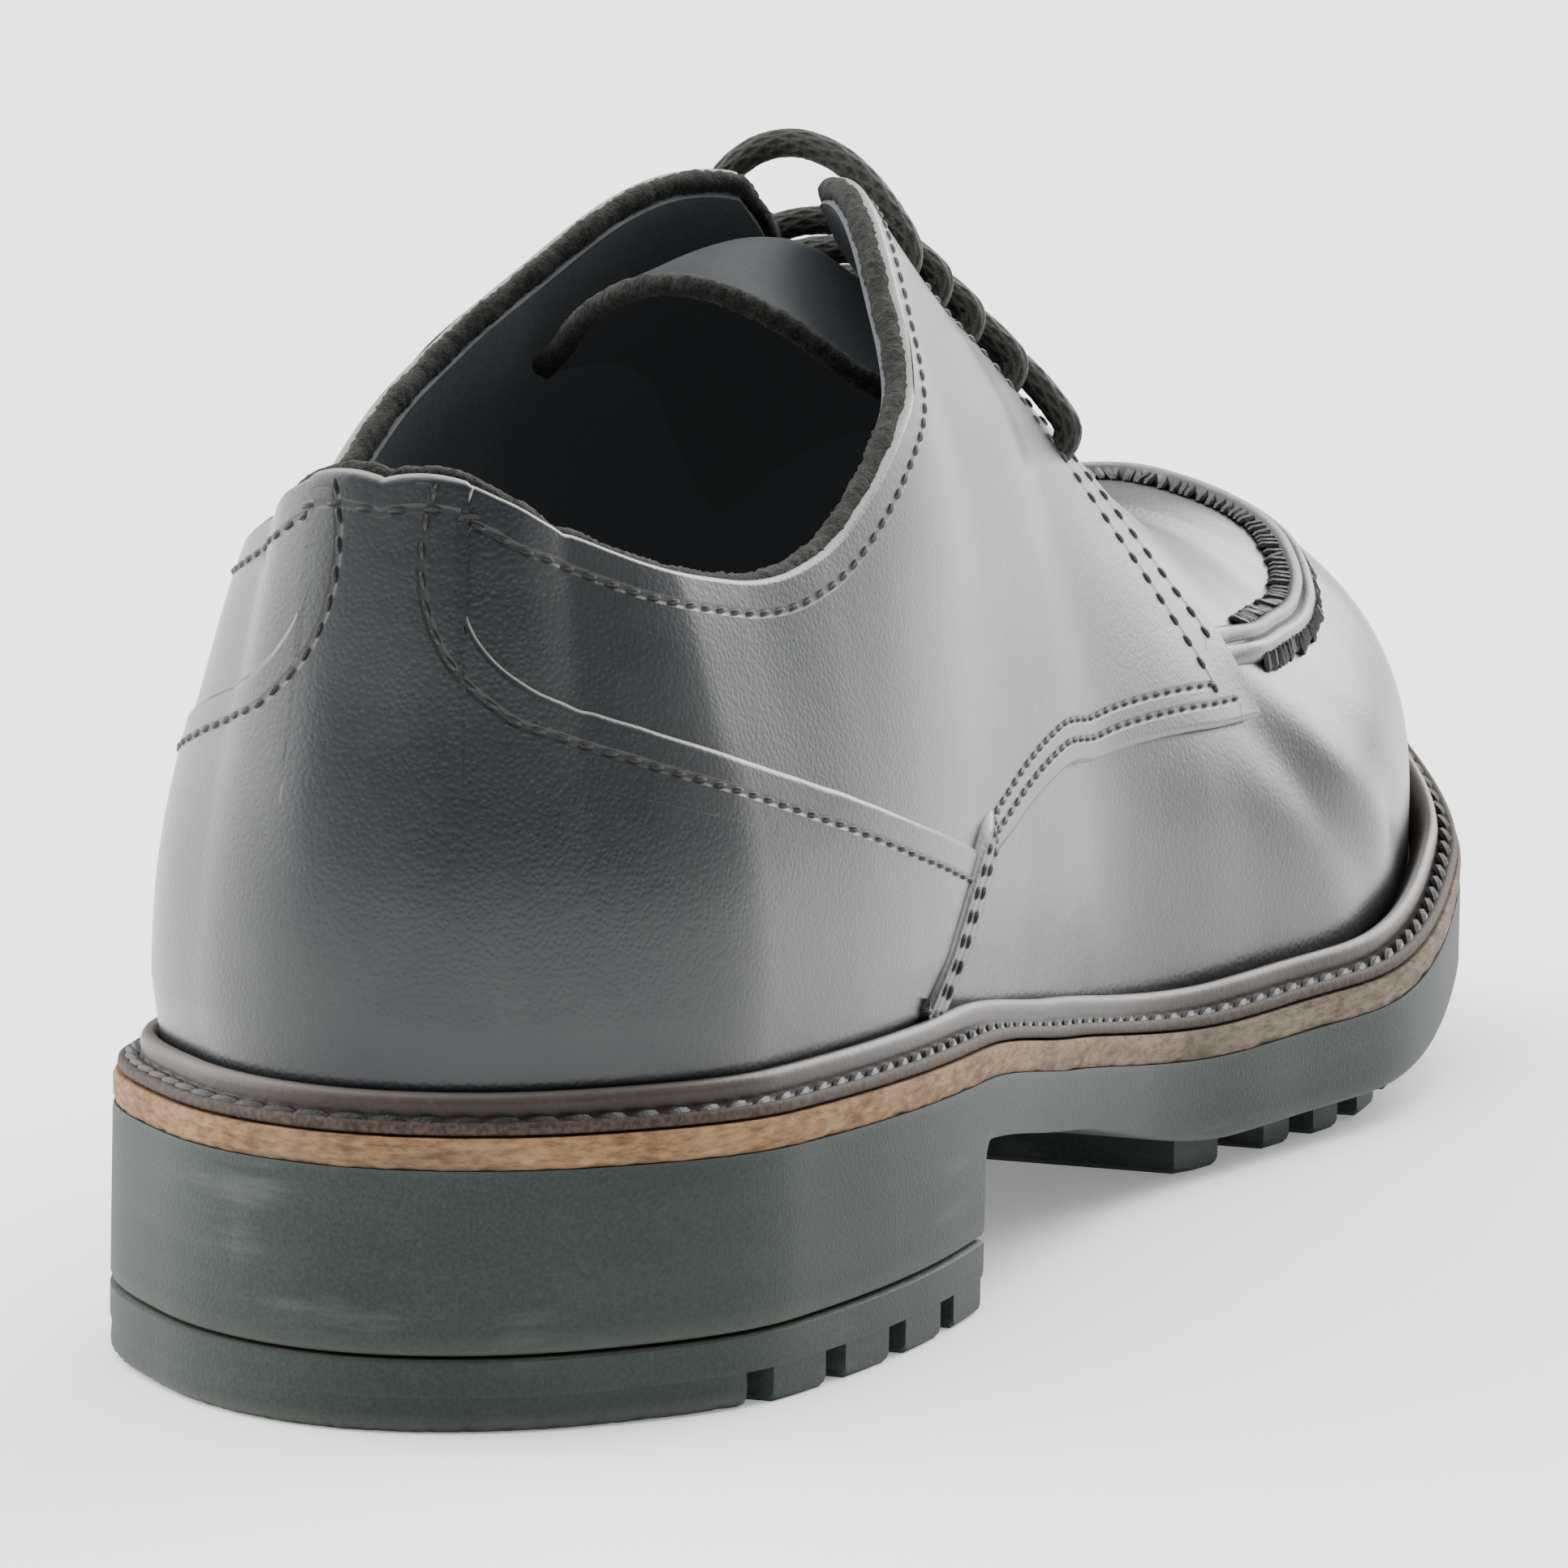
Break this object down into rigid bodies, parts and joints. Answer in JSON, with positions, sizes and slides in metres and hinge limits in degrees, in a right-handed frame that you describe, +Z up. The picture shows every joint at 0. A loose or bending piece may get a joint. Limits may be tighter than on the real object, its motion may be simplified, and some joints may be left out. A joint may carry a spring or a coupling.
{
  "type": "moc-toe derby shoe",
  "caption": "Left moc-toe derby shoe of dark leather with a storm welt, raised apron seam, open-laced facings and a lugged rubber sole with a block heel.",
  "frame": {"origin": "centre of the bounding box in plan, on the plane that the sole stands on", "axes": "+X towards the toe, +Y towards the shoe's outer side, +Z up"},
  "size_m": [0.302, 0.1046, 0.1208],
  "materials": {
    "rubber": "matte dark green-grey, fine speckle",
    "leather_board": "tan fibrous board, matte",
    "welt_leather": "dark brown, smooth, burnished edge",
    "vamp_leather": "charcoal, semi-gloss, fine grain",
    "quarter_leather": "charcoal, semi-gloss, fine grain",
    "lining": "very dark charcoal, matte",
    "lace_cord": "waxed braid, dark olive-black"
  },
  "bodies": {
    "root": {"outsole": "rubber", "heel_lift": "rubber", "midsole": "leather_board", "welt": "welt_leather", "insole": "lining", "upper": "vamp_leather", "quarter_inner": "quarter_leather", "quarter_outer": "quarter_leather", "counter": "quarter_leather", "tongue": "lining", "apron_seam": "vamp_leather", "lace_arch": "lace_cord", "lace_bar_1": "lace_cord", "lace_bar_2": "lace_cord", "lace_bar_3": "lace_cord", "lace_bar_4": "lace_cord"}
  },
  "joints": []
}
